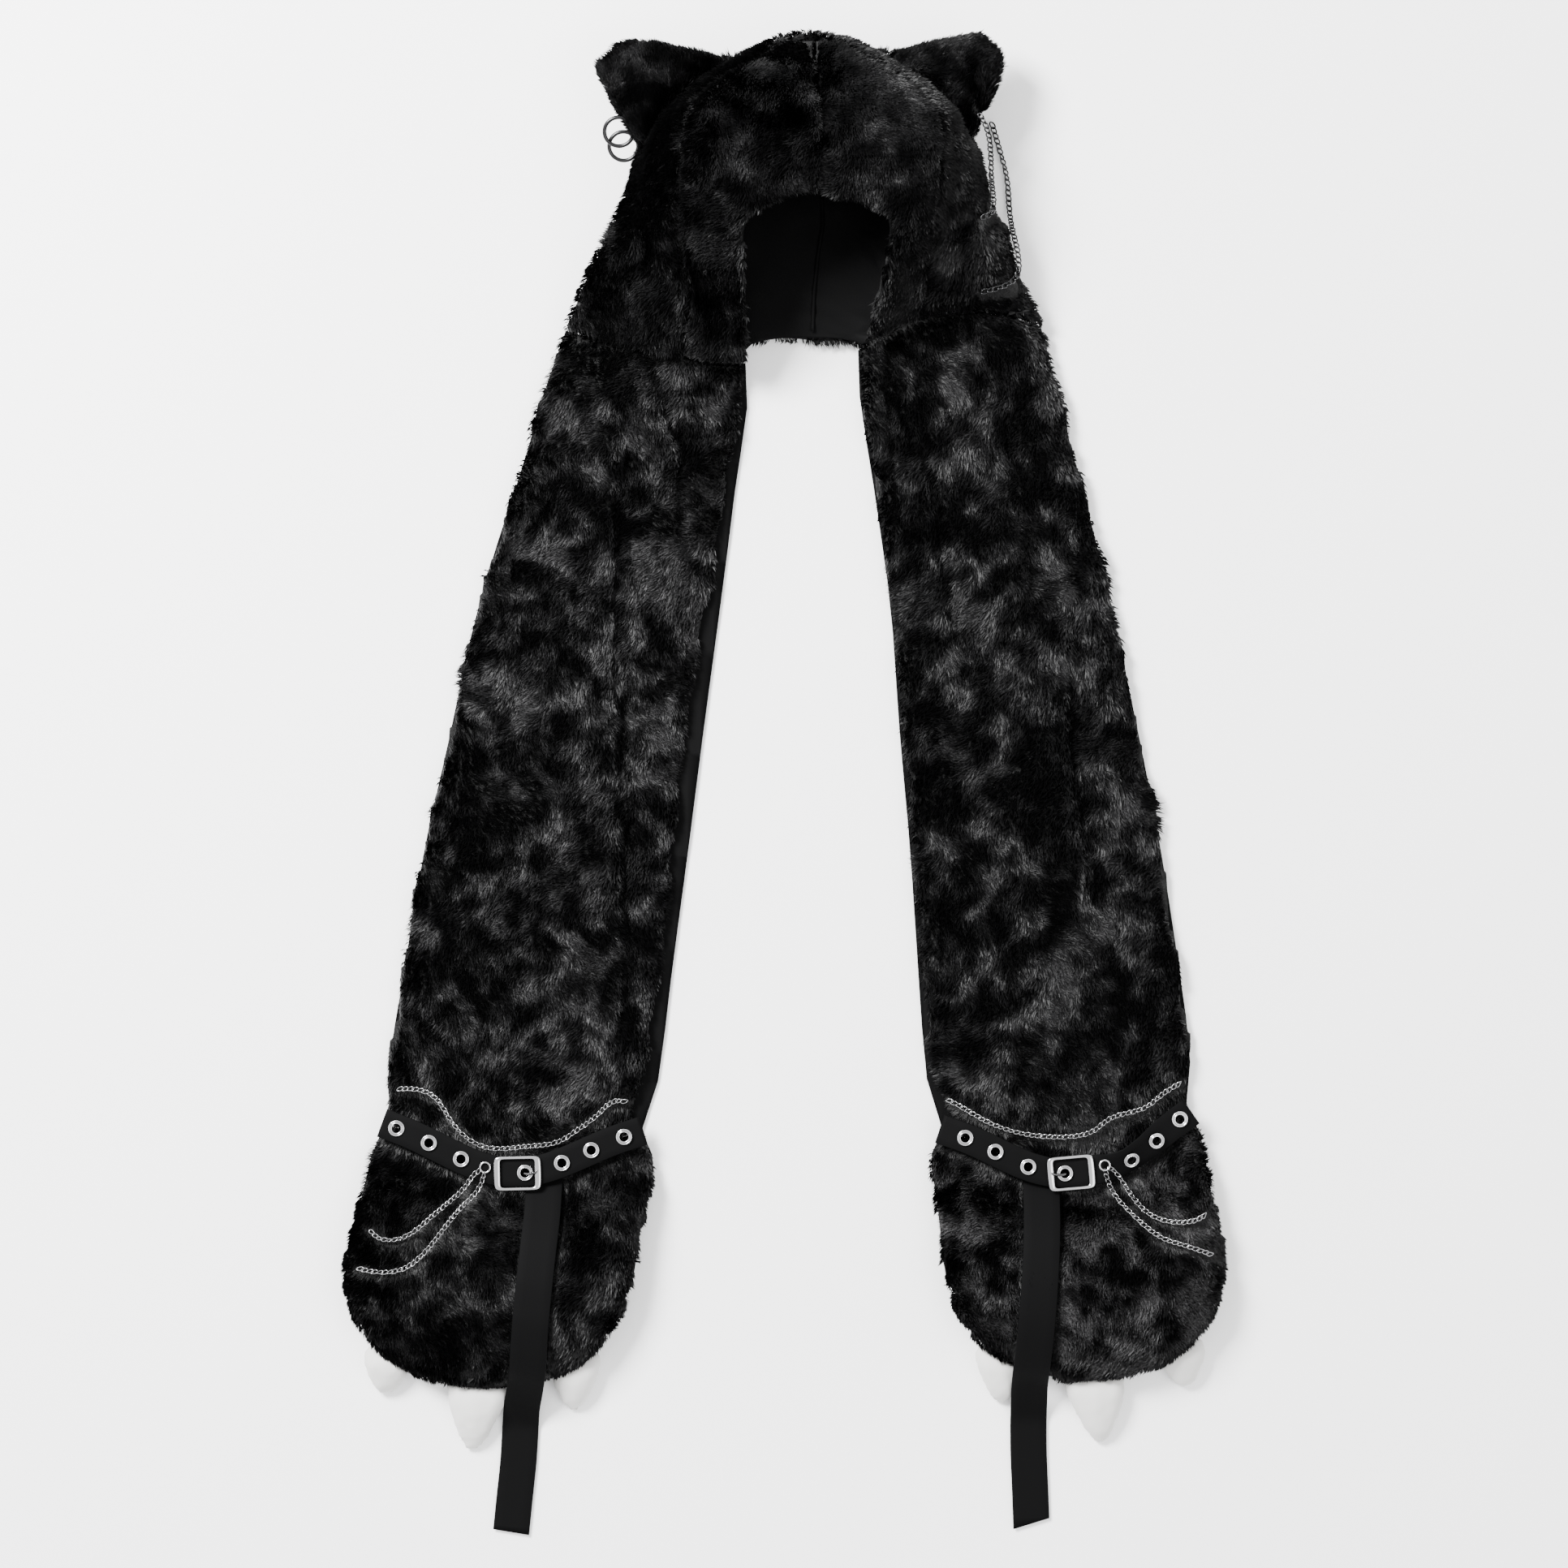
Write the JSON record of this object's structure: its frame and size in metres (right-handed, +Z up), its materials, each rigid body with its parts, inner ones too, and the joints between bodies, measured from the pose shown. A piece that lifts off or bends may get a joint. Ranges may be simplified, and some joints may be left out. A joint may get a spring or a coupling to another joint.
{
  "type": "animal hood scarf",
  "caption": "Black faux-fur cat hood lying flat on its back, its two long scarf ends finished in clawed mitts with eyelet wrist straps, loose tails and chains.",
  "frame": {"origin": "middle of the outline, on the table", "axes": "+Y towards the crown, +X to the right seen from above, +Z up off the table"},
  "size_m": [0.6136, 1.0448, 0.1025],
  "materials": {
    "black_fur": "glossy black pile",
    "smooth_cloth": "short-napped black cloth",
    "webbing": "woven black webbing",
    "claw_cloth": "soft off-white cloth, padded",
    "metal": "bright nickel plate"
  },
  "bodies": {
    "root": {"hood_front_left": "black_fur", "hood_front_right": "black_fur", "hood_back": "black_fur", "ear_left": "black_fur", "ear_right": "black_fur", "scarf_left": "black_fur", "scarf_right": "black_fur", "mitt_left": "black_fur", "mitt_right": "black_fur", "hood_lining": "smooth_cloth", "backing_left": "smooth_cloth", "backing_right": "smooth_cloth", "palm_left": "smooth_cloth", "palm_right": "smooth_cloth", "claw_inner_left": "claw_cloth", "claw_middle_left": "claw_cloth", "claw_outer_left": "claw_cloth", "wrist_strap_left": "webbing", "tail_strap_left": "webbing", "eyelet_left_1": "metal", "eyelet_left_2": "metal", "eyelet_left_3": "metal", "eyelet_left_4": "metal", "eyelet_left_5": "metal", "eyelet_left_6": "metal", "eyelet_left_7": "metal", "buckle_frame_left": "metal", "buckle_prong_left": "metal", "jump_ring_left": "metal", "chain_upper_left": "metal", "chain_lower_short_left": "metal", "chain_lower_long_left": "metal", "claw_inner_right": "claw_cloth", "claw_middle_right": "claw_cloth", "claw_outer_right": "claw_cloth", "wrist_strap_right": "webbing", "tail_strap_right": "webbing", "eyelet_right_1": "metal", "eyelet_right_2": "metal", "eyelet_right_3": "metal", "eyelet_right_4": "metal", "eyelet_right_5": "metal", "eyelet_right_6": "metal", "eyelet_right_7": "metal", "buckle_frame_right": "metal", "buckle_prong_right": "metal", "jump_ring_right": "metal", "chain_upper_right": "metal", "chain_lower_short_right": "metal", "chain_lower_long_right": "metal", "ear_ring_upper": "metal", "ear_ring_lower": "metal", "ear_chain_short": "metal", "ear_chain_long": "metal"}
  },
  "joints": []
}
